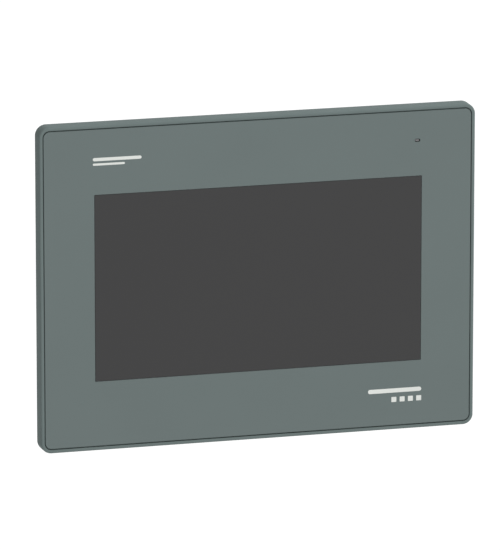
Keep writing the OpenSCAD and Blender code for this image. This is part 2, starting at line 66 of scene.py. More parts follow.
BEZEL_LOW, BEZEL_HIGH = box_mm("front_bezel")
SHEET_LOW, SHEET_HIGH = box_mm("front_overlay")
WINDOW_LOW, WINDOW_HIGH = box_mm("display_window")
LENS_LOW, LENS_HIGH = box_mm("status_lens")
GASKET_LOW, GASKET_HIGH = box_mm("panel_gasket")
LABEL_LOW, LABEL_HIGH = box_mm("rating_label")
SOCKET_LOW, SOCKET_HIGH = box_mm("network_socket")
USB_LOW, USB_HIGH = box_mm("usb_host_socket")

FRONT_Y = BEZEL_LOW.y
FRONT_W = BEZEL_HIGH.x - BEZEL_LOW.x
FRONT_H = BEZEL_HIGH.z - BEZEL_LOW.z
SHEET_W = SHEET_HIGH.x - SHEET_LOW.x
SHEET_H = SHEET_HIGH.z - SHEET_LOW.z
SHEET_Y = SHEET_HIGH.y
GAP = 0.45
CORNER_STEPS = 12

# ---------------------------------------------------------------- camera

CAMERA_YAW = 15.81          # degrees to the operator's left
CAMERA_PITCH = 13.09        # degrees above
CAMERA_DISTANCE = 2955.0
CAMERA_TARGET = Vector((-3.97, FRONT_Y + 1.4, 1.46))
CAMERA_LENS = 423.1         # long lens, on a 36 mm sensor


def add_camera():
    """Camera at the operator's upper left, on a long lens."""
    yaw, pitch = math.radians(CAMERA_YAW), math.radians(CAMERA_PITCH)
    away = Vector((-math.sin(yaw) * math.cos(pitch), -math.cos(yaw) * math.cos(pitch), math.sin(pitch)))
    data = bpy.data.cameras.new("camera")
    data.lens = CAMERA_LENS
    data.sensor_width = 36.0
    data.clip_end = 100.0
    camera = bpy.data.objects.new("camera", data)
    camera.location = (CAMERA_TARGET + away * CAMERA_DISTANCE) * MM
    camera.rotation_euler = (math.pi / 2 - pitch, 0.0, -yaw)
    bpy.context.scene.collection.objects.link(camera)
    bpy.context.scene.camera = camera


# ---------------------------------------------------------------- mesh helpers

def new_object(name, bm, smooth_angle=32.0):
    """A linked object from a bmesh, with its normals outward and its sharp edges marked by angle."""
    bmesh.ops.recalc_face_normals(bm, faces=bm.faces)
    mesh = bpy.data.meshes.new(name)
    bm.to_mesh(mesh)
    bm.free()
    mesh.shade_smooth()
    mesh.set_sharp_from_angle(angle=math.radians(smooth_angle))
    obj = bpy.data.objects.new(name, mesh)
    bpy.context.scene.collection.objects.link(obj)
    return obj


def place(obj, body, slot, material, *nodes):
    """Gives a piece its body and its material, and hides the CAD nodes that it stands for; slot is not used.
    """
    obj.data.materials.clear()
    obj.data.materials.append(material)
    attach(obj, body)
    if nodes:
        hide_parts(*nodes)
    return obj


def ring(w, h, r, y, x=0.0, z=0.0, steps=CORNER_STEPS):
    """Points of a rounded rectangle parallel to the front, w wide and h high, at depth y."""
    r = max(min(r, w / 2, h / 2), 0.01)
    points = []
    for quarter in range(4):
        side_x = 1 if quarter in (0, 3) else -1
        side_z = 1 if quarter < 2 else -1
        for i in range(steps + 1):
            a = math.radians(90 * quarter + 90 * i / steps)
            points.append(Vector((
                x + side_x * (w / 2 - r) + r * math.cos(a),
                y,
                z + side_z * (h / 2 - r) + r * math.sin(a))) * MM)
    return points


def loft(bm, rings, closed=False):
    """Skin over rings of equal count: a closed tube of rings, or a solid with a flat face at each end."""
    rows = [[bm.verts.new(p) for p in points] for points in rings]
    count = len(rows[0])
    pairs = list(zip(rows, rows[1:] + rows[:1])) if closed else list(zip(rows, rows[1:]))
    for low, high in pairs:
        for i in range(count):
            j = (i + 1) % count
            bm.faces.new((low[i], low[j], high[j], high[i]))
    if not closed:
        bm.faces.new(rows[0])
        bm.faces.new(list(reversed(rows[-1])))
    return rows


def lathe(bm, profile, centre, steps=40):
    """Solid of revolution about a Y axis through centre; the profile lists (radius, y) from end to end."""
    rows = []
    for r, y in profile:
        row = []
        for i in range(steps):
            a = 2 * math.pi * i / steps
            row.append(bm.verts.new(Vector((centre[0] + max(r, 0.001) * math.cos(a), y,
                                            centre[1] + max(r, 0.001) * math.sin(a))) * MM))
        rows.append(row)
    for low, high in zip(rows, rows[1:]):
        for i in range(steps):
            j = (i + 1) % steps
            bm.faces.new((low[i], low[j], high[j], high[i]))
    bm.faces.new(rows[0])
    bm.faces.new(list(reversed(rows[-1])))


def cut(obj, tool):
    """Takes the tool's solid out of obj, and removes the tool."""
    modifier = obj.modifiers.new("cut", "BOOLEAN")
    modifier.operation = "DIFFERENCE"
    modifier.solver = "EXACT"
    modifier.object = tool
    bpy.context.view_layer.update()
    mesh = bpy.data.meshes.new_from_object(obj.evaluated_get(bpy.context.evaluated_depsgraph_get()))
    obj.modifiers.clear()
    old, obj.data = obj.data, mesh
    bpy.data.meshes.remove(old)
    bpy.data.objects.remove(tool)
    return obj


def moulded_copy(node, radius, segments=2, sharp=38.0):
    """A new piece with a CAD node's shape and every sharp edge rounded by radius, as a mould leaves it."""
    bm = bmesh.new()
    bm.from_mesh(frame["nodes"][node].data)
    bmesh.ops.remove_doubles(bm, verts=bm.verts, dist=0.002 * MM)
    bmesh.ops.dissolve_limit(bm, angle_limit=math.radians(1.0), verts=bm.verts, edges=bm.edges)
    edges = [e for e in bm.edges if len(e.link_faces) == 2 and e.calc_face_angle(0.0) > math.radians(sharp)]
    bmesh.ops.bevel(bm, geom=edges, offset=radius * MM, segments=segments, profile=0.5,
                    affect="EDGES", clamp_overlap=True)
    bmesh.ops.triangulate(bm, faces=[f for f in bm.faces if len(f.verts) > 4])
    return new_object(node + "_form", bm)


# ---------------------------------------------------------------- materials

def texture_coords(tree, stretch=(1.0, 1.0, 1.0)):
    """Object coordinates, scaled along each axis."""
    coords = tree.nodes.new("ShaderNodeTexCoord")
    mapping = tree.nodes.new("ShaderNodeMapping")
    mapping.inputs["Scale"].default_value = stretch
    tree.links.new(coords.outputs["Object"], mapping.inputs["Vector"])
    return mapping.outputs["Vector"]


def noise(tree, vector, size, detail=2.0, roughness=0.5):
    """Noise whose features are about size millimetres across."""
    node = tree.nodes.new("ShaderNodeTexNoise")
    node.inputs["Scale"].default_value = 1.0 / (size * MM)
    node.inputs["Detail"].default_value = detail
    node.inputs["Roughness"].default_value = roughness
    tree.links.new(vector, node.inputs["Vector"])
    return node.outputs["Fac"]


def spread(tree, value, low, high, start=0.3, end=0.7):
    """The value's start..end range mapped on to low..high."""
    node = tree.nodes.new("ShaderNodeMapRange")
    node.inputs["From Min"].default_value = start
    node.inputs["From Max"].default_value = end
    node.inputs["To Min"].default_value = low
    node.inputs["To Max"].default_value = high
    tree.links.new(value, node.inputs["Value"])
    return node.outputs["Result"]


def blend_colour(tree, factor, colour_a, colour_b, mode="MIX"):
    """Mixes two colours, each a tuple or an output, by a factor output."""
    node = tree.nodes.new("ShaderNodeMix")
    node.data_type = "RGBA"
    node.blend_type = mode
    tree.links.new(factor, node.inputs[0])
    for socket, colour in ((node.inputs[6], colour_a), (node.inputs[7], colour_b)):
        if isinstance(colour, tuple):
            socket.default_value = (*colour, 1.0)
        else:
            tree.links.new(colour, socket)
    return node.outputs[2]


def edge_mask(tree, radius):
    """1 near sharp edges and 0 on open faces, for lighter edges: partly rubbed wear, partly a painted
    highlight along the edges.
    """
    bevel = tree.nodes.new("ShaderNodeBevel")
    bevel.samples = 4
    bevel.inputs["Radius"].default_value = radius * MM
    geometry = tree.nodes.new("ShaderNodeNewGeometry")
    dot = tree.nodes.new("ShaderNodeVectorMath")
    dot.operation = "DOT_PRODUCT"
    tree.links.new(bevel.outputs["Normal"], dot.inputs[0])
    tree.links.new(geometry.outputs["Normal"], dot.inputs[1])
    return spread(tree, dot.outputs["Value"], 1.0, 0.0, 0.72, 0.98)


WEAR_AND_HIGHLIGHT_REACH = 0.5           # how far the rubbed look and the painted edge highlight reach from an edge


def surface(name, colour, roughness, metallic=0.0, specular=0.5, coat=0.0, grain=0.5, depth=0.006,
            mottle=0.05, mottle_size=18.0, wear_and_highlight=0.0, wear_and_highlight_colour=(0.4, 0.4, 0.4), stretch=(1.0, 1.0, 1.0),
            roughness_spread=0.06):
    """A solid material with grain in its bump, slow drift in its colour and roughness, and lighter edges that
    are partly rubbed wear and partly a painted highlight.
    """
    material = bpy.data.materials.new(name)
    material.use_nodes = True
    tree = material.node_tree
    shader = tree.nodes["Principled BSDF"]
    shader.inputs["Metallic"].default_value = metallic
    shader.inputs["Specular IOR Level"].default_value = specular
    shader.inputs["Coat Weight"].default_value = coat
    shader.inputs["Coat Roughness"].default_value = 0.25
    vector = texture_coords(tree, stretch)
    slow = spread(tree, noise(tree, vector, mottle_size, 3.0), 0.0, 1.0)
    darker = tuple(c * (1 - mottle) for c in colour)
    lighter = tuple(min(c * (1 + mottle), 1.0) for c in colour)
    tint = blend_colour(tree, slow, darker, lighter)
    fine = noise(tree, vector, grain, 2.5, 0.6)
    speck = spread(tree, fine, 1 - mottle * 0.6, 1 + mottle * 0.6)
    scale = tree.nodes.new("ShaderNodeVectorMath")
    scale.operation = "SCALE"
    tree.links.new(tint, scale.inputs[0])
    tree.links.new(speck, scale.inputs["Scale"])
    tint = scale.outputs["Vector"]
    # Lighter colour near edges: partly rubbed wear, partly a painted highlight where the edges would catch
    # the light.
    if wear_and_highlight:
        rub_and_highlight = tree.nodes.new("ShaderNodeMath")
        rub_and_highlight.operation = "MULTIPLY"
        tree.links.new(edge_mask(tree, WEAR_AND_HIGHLIGHT_REACH), rub_and_highlight.inputs[0])
        tree.links.new(spread(tree, noise(tree, vector, 6.0, 4.0), 0.2 * wear_and_highlight, wear_and_highlight), rub_and_highlight.inputs[1])
        tint = blend_colour(tree, rub_and_highlight.outputs[0], tint, wear_and_highlight_colour)
    tree.links.new(tint, shader.inputs["Base Color"])
    rough = spread(tree, noise(tree, vector, mottle_size * 0.4, 4.0), roughness - roughness_spread,
                   roughness + roughness_spread)
    tree.links.new(rough, shader.inputs["Roughness"])
    bump = tree.nodes.new("ShaderNodeBump")
    bump.inputs["Strength"].default_value = 1.0
    bump.inputs["Distance"].default_value = depth * MM
    tree.links.new(fine, bump.inputs["Height"])
    tree.links.new(bump.outputs["Normal"], shader.inputs["Normal"])
    return material


def clear(name, colour, roughness=0.05, transmission=0.9, ior=1.5, grain=0.8, depth=0.001):
    """A glassy material with a faint surface unevenness."""
    material = surface(name, colour, roughness, mottle=0.02, grain=grain, depth=depth, roughness_spread=0.01)
    shader = material.node_tree.nodes["Principled BSDF"]
    shader.inputs["Transmission Weight"].default_value = transmission
    shader.inputs["IOR"].default_value = ior
    return material


GREY_GREEN = (0.118, 0.1476, 0.1445)
BEZEL_GREY = (0.134, 0.1665, 0.163)
PLATING = (0.62, 0.63, 0.65)


def make_materials():
    """One material for each slot of the record."""
    return {
        # The bezel's lighter edge colour is a painted highlight along its rounded edges.
        "bezel_plastic": surface("bezel_plastic", BEZEL_GREY, 0.7, specular=0.04, grain=0.35, depth=0.005,
                                 mottle=0.02, wear_and_highlight=0.30, wear_and_highlight_colour=(0.17, 0.205, 0.205)),
        "printed_sheet": surface("printed_sheet", GREY_GREEN, 0.6, specular=0.3, grain=0.25, depth=0.002,
                                 mottle=0.014, mottle_size=45.0, roughness_spread=0.02),
        "display_window": surface("display_window", (0.0424, 0.0424, 0.0428), 0.55, specular=0.2,
                                  grain=0.12, depth=0.0012, mottle=0.012, mottle_size=60.0,
                                  roughness_spread=0.015),
        "touch_glass": clear("touch_glass", (0.86, 0.92, 0.91)),
        "status_lens": surface("status_lens", (0.19, 0.185, 0.19), 0.4, specular=0.3, coat=0.1,
                               grain=0.6, depth=0.002),
        "led_chip": surface("led_chip", (0.86, 0.80, 0.45), 0.35, grain=0.15),
        "circuit_board": surface("circuit_board", (0.022, 0.16, 0.075), 0.35, coat=0.3, grain=0.3,
                                 depth=0.008, mottle=0.12, mottle_size=8.0),
        "gasket_rubber": surface("gasket_rubber", (0.022, 0.022, 0.023), 0.8, specular=0.25, grain=0.25,
                                 depth=0.03, mottle=0.15, mottle_size=10.0),
        "sheet_steel": surface("sheet_steel", (0.56, 0.57, 0.58), 0.38, metallic=1.0, grain=0.4, depth=0.003,
                               stretch=(1.0, 1.0, 14.0), mottle=0.06),
        "lcd_glass": surface("lcd_glass", (0.02, 0.02, 0.025), 0.12, coat=0.5, grain=0.3, depth=0.001),
        "light_guide": clear("light_guide", (0.88, 0.9, 0.91), 0.3, 0.4),
        "flex_film": surface("flex_film", (0.50, 0.21, 0.035), 0.3, coat=0.3, grain=0.8, depth=0.004,
                             mottle=0.12),
        "white_plastic": surface("white_plastic", (0.78, 0.75, 0.66), 0.45, grain=0.3),
        "chip_black": surface("chip_black", (0.022, 0.022, 0.024), 0.5, grain=0.12, depth=0.006,
                              mottle=0.12),
        "capacitor_can": surface("capacitor_can", (0.72, 0.73, 0.75), 0.28, metallic=1.0, grain=0.4,
                                 depth=0.003, stretch=(12.0, 1.0, 12.0)),
        "black_plastic": surface("black_plastic", (0.020, 0.020, 0.022), 0.42, grain=0.25, depth=0.006,
                                 mottle=0.12),
        "bright_steel": surface("bright_steel", (0.68, 0.68, 0.69), 0.24, metallic=1.0, grain=0.5,
                                depth=0.002),
        "green_plastic": surface("green_plastic", (0.030, 0.215, 0.066), 0.42, grain=0.3, depth=0.006,
                                 mottle=0.07, mottle_size=5.0, wear_and_highlight=0.3,
                                 wear_and_highlight_colour=(0.10, 0.34, 0.15)),
        "connector_shell": surface("connector_shell", (0.60, 0.61, 0.63), 0.3, metallic=1.0, grain=0.35,
                                   depth=0.003, stretch=(1.0, 1.0, 6.0), mottle=0.05, mottle_size=6.0,
                                   wear_and_highlight=0.2, wear_and_highlight_colour=(0.70, 0.70, 0.70)),
        "brass": surface("brass", (0.70, 0.50, 0.19), 0.3, metallic=1.0, grain=0.3, depth=0.003, mottle=0.1,
                         mottle_size=4.0),
        "zinc_screws": surface("zinc_screws", PLATING, 0.3, metallic=1.0, grain=0.5, depth=0.003, mottle=0.08,
                               mottle_size=2.5, wear_and_highlight=0.3, wear_and_highlight_colour=(0.74, 0.74, 0.73)),
        "case_plastic": surface("case_plastic", (0.036, 0.038, 0.040), 0.62, specular=0.4, grain=0.7,
                                depth=0.045, mottle=0.10, mottle_size=30.0, wear_and_highlight=0.5,
                                wear_and_highlight_colour=(0.085, 0.088, 0.09)),
        "label_foil": surface("label_foil", (0.60, 0.61, 0.60), 0.38, metallic=0.25, grain=0.3, depth=0.003,
                              mottle=0.03, stretch=(1.0, 1.0, 8.0)),
        "clamp_metal": surface("clamp_metal", (0.42, 0.43, 0.44), 0.42, metallic=0.9, grain=0.6, depth=0.03,
                               mottle=0.12, mottle_size=5.0, wear_and_highlight=0.6, wear_and_highlight_colour=(0.68, 0.68, 0.67)),
    }


M = make_materials()
INK = surface("ink", (0.64, 0.66, 0.63), 0.55, grain=0.15, depth=0.002, mottle=0.03)
INK_DARK = surface("ink_dark", (0.10, 0.10, 0.10), 0.5, grain=0.15, depth=0.002, mottle=0.05)
GOLD = surface("contact_gold", (0.83, 0.62, 0.22), 0.22, metallic=1.0, grain=0.2, depth=0.001, mottle=0.06)


# ---------------------------------------------------------------- front

EDGE = 0.8                 # rounding of the bezel's front edge
DRAFT = 0.15               # its sides lean in by this much from the rear to the front
REAR_EDGE = 0.15
LIP = 0.08                 # softened edges at the gap round the sheet
RECESS_Y = SHEET_Y
GAP_FLOOR_Y = RECESS_Y + 0.6
PLATE_T = 1.2              # the front plate, behind the touch glass
COLLAR_WALL = 1.6
COLLAR_END_Y = 0.1
SEAT_STEP = 0.5            # the case's rim sits this far into the bezel
GROOVE_BAND = 3.3
M3_HEAD_R = 2.7
M3_HEAD_H = 1.9
M4_HEAD_R = 3.5
M4_HEAD_H = 2.4
CORE_R = 1.58              # hole that an M3 screw cuts its thread in
BOSS_R = 3.1
BOSS_FOOT_Y = -2.0
PIPE_HOLE = (3.6, 2.4, 1.15)    # width, height and corner radius of the light pipe's way through
BEZEL_SHARP = 28.0         # edges sharper than this many degrees stay sharp in the shading
WINDOW_GAP = 0.15
SHEET_HOLE_W, SHEET_HOLE_H = 2.7, 1.5
TIP_GAP = 0.26             # round the tip of the light pipe
TIP_BACK = 0.35            # how far the tip lies behind the sheet's face


def inset_ring(d, y, w=FRONT_W, h=FRONT_H, r=5.0):
    """The bezel's outline moved inwards by d."""
    return ring(w - 2 * d, h - 2 * d, r - d, y)


def edge_rings():
    """Rings from the rear edge, up the drafted side and over the front edge, to the gap round the sheet."""
    rim_end = (FRONT_W - (SHEET_W + 2 * GAP)) / 2
    rings = []
    for i in range(5):
        a = i * math.pi / 8
        rings.append(inset_ring(-REAR_EDGE * math.sin(a) + REAR_EDGE, REAR_EDGE * math.cos(a) - REAR_EDGE))
    for i in range(9):
        a = i * math.pi / 16
        rings.append(inset_ring(DRAFT + EDGE * (1 - math.cos(a)), FRONT_Y + EDGE * (1 - math.sin(a))))
    for i in range(4):
        a = i * math.pi / 6
        rings.append(inset_ring(rim_end - LIP * (1 - math.sin(a)), FRONT_Y + LIP * (1 - math.cos(a))))
    gap_end = rim_end + GAP + 0.1
    rings.append(inset_ring(rim_end, GAP_FLOOR_Y))
    rings.append(inset_ring(gap_end, GAP_FLOOR_Y))
    rings.append(inset_ring(gap_end, RECESS_Y))
    return rings


def grow(size, d):
    """A width and height, each d more."""
    return size[0] + d, size[1] + d


def size_of(high, d):
    """Width and height of something centred on the origin, from its highest corner, each d more."""
    return high.x * 2 + d, high.z * 2 + d


def opening_rings(glass_y):
    """Rings of the touch glass's seat and of the display's opening behind it."""
    glass = size_of(box_mm("touch_glass")[1], 0.4)
    opening = size_of(WINDOW_HIGH, 2.8)
    r = 0.5
    return [ring(*glass, r, RECESS_Y), ring(*glass, r, glass_y),
            ring(*opening, r, glass_y), ring(*opening, r, glass_y + PLATE_T)]


def back_rings(plate_y):
    """Rings of the hollow back: the collar, the seat of the case's rim and the gasket's groove."""
    seat = size_of(box_mm("rear_case")[1], 0.3)
    collar = grow(seat, -4.7)
    hollow = grow(collar, -2 * COLLAR_WALL)
    groove = size_of(GASKET_HIGH, 0.2)
    groove_inner = grow(groove, -2 * GROOVE_BAND)
    return [ring(*hollow, 2.0, plate_y), ring(*hollow, 2.0, COLLAR_END_Y),
            ring(*collar, 3.0, COLLAR_END_Y), ring(*collar, 3.0, -SEAT_STEP),
            ring(*seat, 3.2, -SEAT_STEP), ring(*seat, 3.2, -0.1), ring(*grow(seat, 0.2), 3.3, 0.0),
            ring(*groove_inner, 2.0, 0.0), ring(*groove_inner, 2.0, GASKET_LOW.y),
            ring(*groove, 3.5, GASKET_LOW.y), ring(*groove, 3.5, 0.0)]


def add_bosses(bm):
    """Round bosses behind the front plate, with the core holes of the case's and the chassis's screws."""
    for node, top in (("case_screws", 5.5), ("chassis_screws", 3.1)):
        high = box_mm(node)[1]
        profile = [(CORE_R, BOSS_FOOT_Y), (BOSS_R, BOSS_FOOT_Y - 1.8), (BOSS_R, top - 0.3),
                   (BOSS_R - 0.3, top), (CORE_R, top)]
        for sx in (-1, 1):
            for sz in (-1, 1):
                lathe(bm, profile, (sx * (high.x - M3_HEAD_R), sz * (high.z - M3_HEAD_R)), 32)


def make_bezel():
    """Front frame: rounded edge, rim, gap, seat of the sheet, opening, hollow back, collar and groove."""
    glass_y = box_mm("touch_glass")[1].y
    plate_y = glass_y + PLATE_T
    bm = bmesh.new()
    loft(bm, edge_rings() + opening_rings(glass_y) + back_rings(plate_y), closed=True)
    bezel = new_object("bezel_form", bm, BEZEL_SHARP)
    hole = bmesh.new()
    x, z = lens_centre()
    loft(hole, [ring(*PIPE_HOLE, FRONT_Y - 1, x, z), ring(*PIPE_HOLE, plate_y + 1, x, z)])
    cut(bezel, new_object("lens_hole", hole))
    bm = bmesh.new()
    bm.from_mesh(bezel.data)
    add_bosses(bm)
    bpy.data.meshes.remove(bezel.data)
    bezel = new_object("bezel_form", bm, BEZEL_SHARP)
    place(bezel, UNIT, "bezel_plastic", M["bezel_plastic"], "front_bezel")


def lens_centre():
    """Middle of the status light, across and up."""
    return (LENS_LOW.x + LENS_HIGH.x) / 2, (LENS_LOW.z + LENS_HIGH.z) / 2


def make_sheet():
    """Printed front sheet with its window and lens openings."""
    edge = 0.10
    w, h = WINDOW_HIGH.x * 2 + 0.06, WINDOW_HIGH.z * 2 + 0.06
    rings = [ring(SHEET_W, SHEET_H, 2.8, SHEET_Y), ring(SHEET_W, SHEET_H, 2.8, FRONT_Y + edge),
             ring(SHEET_W - 0.06, SHEET_H - 0.06, 2.77, FRONT_Y + 0.03),
             ring(SHEET_W - 2 * edge, SHEET_H - 2 * edge, 2.7, FRONT_Y),
             ring(w + 0.05, h + 0.05, 0.2, FRONT_Y), ring(w, h, 0.2, FRONT_Y + 0.03),
             ring(w, h, 0.2, SHEET_Y)]
    bm = bmesh.new()
    loft(bm, rings, closed=True)
    sheet = new_object("sheet_form", bm)
    hole = bmesh.new()
    x, z = lens_centre()
    loft(hole, [ring(SHEET_HOLE_W, SHEET_HOLE_H, 0.72, FRONT_Y - 1, x, z),
                ring(SHEET_HOLE_W - 0.1, SHEET_HOLE_H - 0.1, 0.68, SHEET_Y + 1, x, z)])
    cut(sheet, new_object("sheet_hole", hole))
    sheet.data.shade_smooth()
    sheet.data.set_sharp_from_angle(angle=math.radians(20.0))
    place(sheet, UNIT, "printed_sheet", M["printed_sheet"], "front_overlay")


def make_window():
    """Display window, just under the sheet's face, with a hair of a gap round it."""
    w, h = WINDOW_HIGH.x * 2 - 2 * WINDOW_GAP, WINDOW_HIGH.z * 2 - 2 * WINDOW_GAP
    bm = bmesh.new()
    loft(bm, [ring(w, h, 0.2, WINDOW_HIGH.y), ring(w, h, 0.2, WINDOW_LOW.y + 0.04),
              ring(w - 0.08, h - 0.08, 0.16, WINDOW_LOW.y)])
    place(new_object("window_form", bm), UNIT, "display_window", M["display_window"], "display_window")


def make_lens():
    """Light pipe of the status light: its domed tip sits a little back in the hole, with a gap round it."""
    x, z = lens_centre()
    w, h = LENS_HIGH.x - LENS_LOW.x, LENS_HIGH.z - LENS_LOW.z
    tip_w, tip_h, tip_y = SHEET_HOLE_W - 2 * TIP_GAP, SHEET_HOLE_H - 2 * TIP_GAP, FRONT_Y + TIP_BACK
    r = tip_h / 2 - 0.03
    rings = [ring(w, h, h / 2 - 0.05, LENS_HIGH.y, x, z), ring(w, h, h / 2 - 0.05, tip_y + 1.4, x, z),
             ring(tip_w, tip_h, r, tip_y + 1.2, x, z), ring(tip_w, tip_h, r, tip_y + 0.2, x, z)]
    for degrees in (20, 40, 60, 75):
        a = math.radians(degrees)
        rings.append(ring(tip_w - tip_h * (1 - math.cos(a)), tip_h * math.cos(a), r * math.cos(a),
                          tip_y + 0.2 * (1 - math.sin(a)), x, z))
    bm = bmesh.new()
    loft(bm, rings)
    place(new_object("lens_form", bm), UNIT, "status_lens", M["status_lens"], "status_lens")


def make_gasket():
    """Foam gasket in its groove, with a soft crown that the panel flattens."""
    w, h = GASKET_HIGH.x * 2, GASKET_HIGH.z * 2
    band, top = 3.1, GASKET_HIGH.y
    profile = [(0.0, GASKET_LOW.y), (0.0, top - 0.35), (0.12, top - 0.12), (0.45, top), (band - 0.45, top),
               (band - 0.12, top - 0.12), (band, top - 0.35), (band, GASKET_LOW.y)]
    bm = bmesh.new()
    loft(bm, [ring(w - 2 * d, h - 2 * d, 3.4 - 0.45 * d, y) for d, y in profile], closed=True)
    place(new_object("gasket_form", bm, 60.0), UNIT, "gasket_rubber", M["gasket_rubber"], "panel_gasket")


INK_LIFT = 0.02


def printed_bar(bm, x, z, w, h, y=FRONT_Y, side=-1):
    """Thin rounded bar of ink on a face at depth y; side is -1 when the face looks to the front."""
    r = min(w, h) / 2 - 0.005
    loft(bm, [ring(w, h, r, y - side * 0.01, x, z, 6), ring(w, h, r, y + side * INK_LIFT, x, z, 6)])


def printed_square(bm, x, z, side):
    """Thin square of ink on the front sheet."""
    loft(bm, [ring(side, side, 0.2, FRONT_Y + 0.01, x, z, 3),
              ring(side, side, 0.2, FRONT_Y - INK_LIFT, x, z, 3)])


def make_marks():
    """Two plain printed marks, of bars and squares without lettering, in opposite corners of the sheet."""
    bm = bmesh.new()
    left, right, middle, short = -78.2, -55.4, 58.9, 15.0
    printed_bar(bm, (left + right) / 2, middle + 1.0, right - left, 1.5)
    printed_bar(bm, left + short / 2, middle - 1.3, short, 1.0)
    place(new_object("mark_range", bm), UNIT, "printed_sheet", INK)
    bm = bmesh.new()
    left, right, upper, lower = 52.2, 77.9, -57.3, -61.6
    side, pitch = 2.4, 4.0
    printed_bar(bm, (left + right) / 2, upper, right - left, 2.0)
    for i in range(4):
        printed_square(bm, right - side / 2 - i * pitch, lower, side)
    place(new_object("mark_maker", bm), UNIT, "printed_sheet", INK)


# ---------------------------------------------------------------- screws

def cross_cutter(x, z, y_top, reach, depth, turned):
    """Tapered bar of a cross recess, pointing into a head whose face is at y_top."""
    bm = bmesh.new()
    wide, narrow, thick = reach, reach * 0.45, reach * 0.24
    corners = []
    for y, half, t in ((y_top + 0.6, wide, thick), (y_top - depth, narrow, thick * 0.7)):
        row = [(-half, -t), (half, -t), (half, t), (-half, t)]
        if turned:
            row = [(b, a) for a, b in row]
        corners.append([bm.verts.new(Vector((x + a, y, z + b)) * MM) for a, b in row])
    low, high = corners
    bm.faces.new(low)
    bm.faces.new(high)
    for i in range(4):
        bm.faces.new((low[i], low[(i + 1) % 4], high[(i + 1) % 4], high[i]))
    return new_object("cross_tool", bm)


def screw_profile(y, r, head_r, head_h, length, pitch):
    """Outline of a threaded pan-head screw from its tip to its crown, as (radius, y)."""
    points = [(r * 0.3, y - length), (r * 0.8, y - length + 0.3)]
    turns = int((length - 0.8) / pitch)
    for i in range(turns):
        start = y - length + 0.5 + i * pitch
        points += [(r, start + 0.15 * pitch), (r, start + 0.3 * pitch), (r * 0.82, start + 0.75 * pitch)]
    points += [(r * 0.98, y - 0.25), (r * 0.98, y), (head_r * 0.95, y), (head_r, y + 0.12 * head_h),
               (head_r, y + 0.42 * head_h)]
    for t in (0.3, 0.55, 0.75, 0.9, 1.0):
        points.append((head_r * (1 - 0.42 * t * t), y + head_h * (0.42 + 0.58 * t)))
    points += [(head_r * 0.3, y + head_h * 1.0)]
    return points


def make_screws(name, node, body, places, y, r, head_r, head_h, length, recess, pitch):
    """Screws of one node as one piece: lathed head and thread, with a cross recess cut in each head."""
    bm = bmesh.new()
    for x, z in places:
        lathe(bm, screw_profile(y, r, head_r, head_h, length, pitch), (x, z))
    piece = new_object(name, bm)
    for x, z in places:
        for turned in (False, True):
            cut(piece, cross_cutter(x, z, y + head_h, recess, head_h * 0.62, turned))
    piece.data.shade_smooth()
    piece.data.set_sharp_from_angle(angle=math.radians(35.0))
    place(piece, body, "zinc_screws", M["zinc_screws"], node)


def make_case_screws():
    """The four M3 screws that hold the case to the bezel."""
    low, high = box_mm("case_screws")
    x, z = high.x - M3_HEAD_R, high.z - M3_HEAD_R
    places = [(sx * x, sz * z) for sx in (-1, 1) for sz in (-1, 1)]
    seat = high.y - M3_HEAD_H
    make_screws("case_screw_set", "case_screws", UNIT, places, seat, 1.5, M3_HEAD_R, M3_HEAD_H,
                seat - low.y, 1.35, 0.5)


def make_clamps():
    """Jaws with softened cast edges, and their screws, each on its own body."""
    for row in ("top", "bottom"):
        for side in ("left", "right"):
            jaw, screw = f"clamp_jaw_{row}_{side}", f"clamp_screw_{row}_{side}"
            place(moulded_copy(jaw, 0.45, 3), BODY_OF[jaw], "clamp_metal", M["clamp_metal"], jaw)
            low, high = box_mm(screw)
            seat = high.y - M4_HEAD_H
            centre = ((low.x + high.x) / 2, (low.z + high.z) / 2)
            make_screws(screw + "_form", screw, BODY_OF[screw], [centre], seat, 2.0, M4_HEAD_R, M4_HEAD_H,
                        seat - low.y, 1.8, 0.7)


# ---------------------------------------------------------------- case, connectors and inner parts

MOULDED = (                # node, edge radius, segments
    ("rear_case", 0.4, 3),
    ("battery_cover", 0.25, 2),
    ("power_header", 0.2, 2),
    ("power_plug", 0.25, 2),
    ("network_socket", 0.2, 2),
    ("usb_host_socket", 0.12, 2),
    ("usb_device_socket", 0.1, 2),
    ("serial_shell", 0.15, 2),
    ("serial_insert", 0.12, 1),
    ("jack_screws", 0.15, 2),
    ("terminal_screw_left", 0.12, 2),
    ("terminal_screw_middle", 0.12, 2),
    ("terminal_screw_right", 0.12, 2),
    ("wire_cage_left", 0.1, 2),
    ("wire_cage_middle", 0.1, 2),
    ("wire_cage_right", 0.1, 2),
    ("processor_chip", 0.12, 1),
    ("memory_chips", 0.08, 1),
    ("battery_holder", 0.15, 2),
    ("chassis_plate", 0.08, 1),
    ("board_capacitors", 0.5, 3),
    ("power_inductors", 0.3, 2),
    ("buzzer", 0.3, 2),
    ("coin_cell", 0.25, 2),
)


def make_moulded():
    """Pieces that have a CAD node's shape, with rounded edges."""
    for node, radius, segments in MOULDED:
        slot = SLOT_OF[node]
        place(moulded_copy(node, radius, segments), BODY_OF[node], slot, M[slot], node)


def add_wire(bm, x, path, thick):
    """Square wire at x that follows a path of (y, z) points."""
    rows = []
    for y, z in path:
        rows.append([bm.verts.new(Vector((x + a * thick / 2, y + b * thick / 2, z)) * MM)
                     for a, b in ((-1, -1), (1, -1), (1, 1), (-1, 1))])
    for a, b in zip(rows, rows[1:]):
        for j in range(4):
            bm.faces.new((a[j], a[(j + 1) % 4], b[(j + 1) % 4], b[j]))
    bm.faces.new(rows[0])
    bm.faces.new(rows[-1])


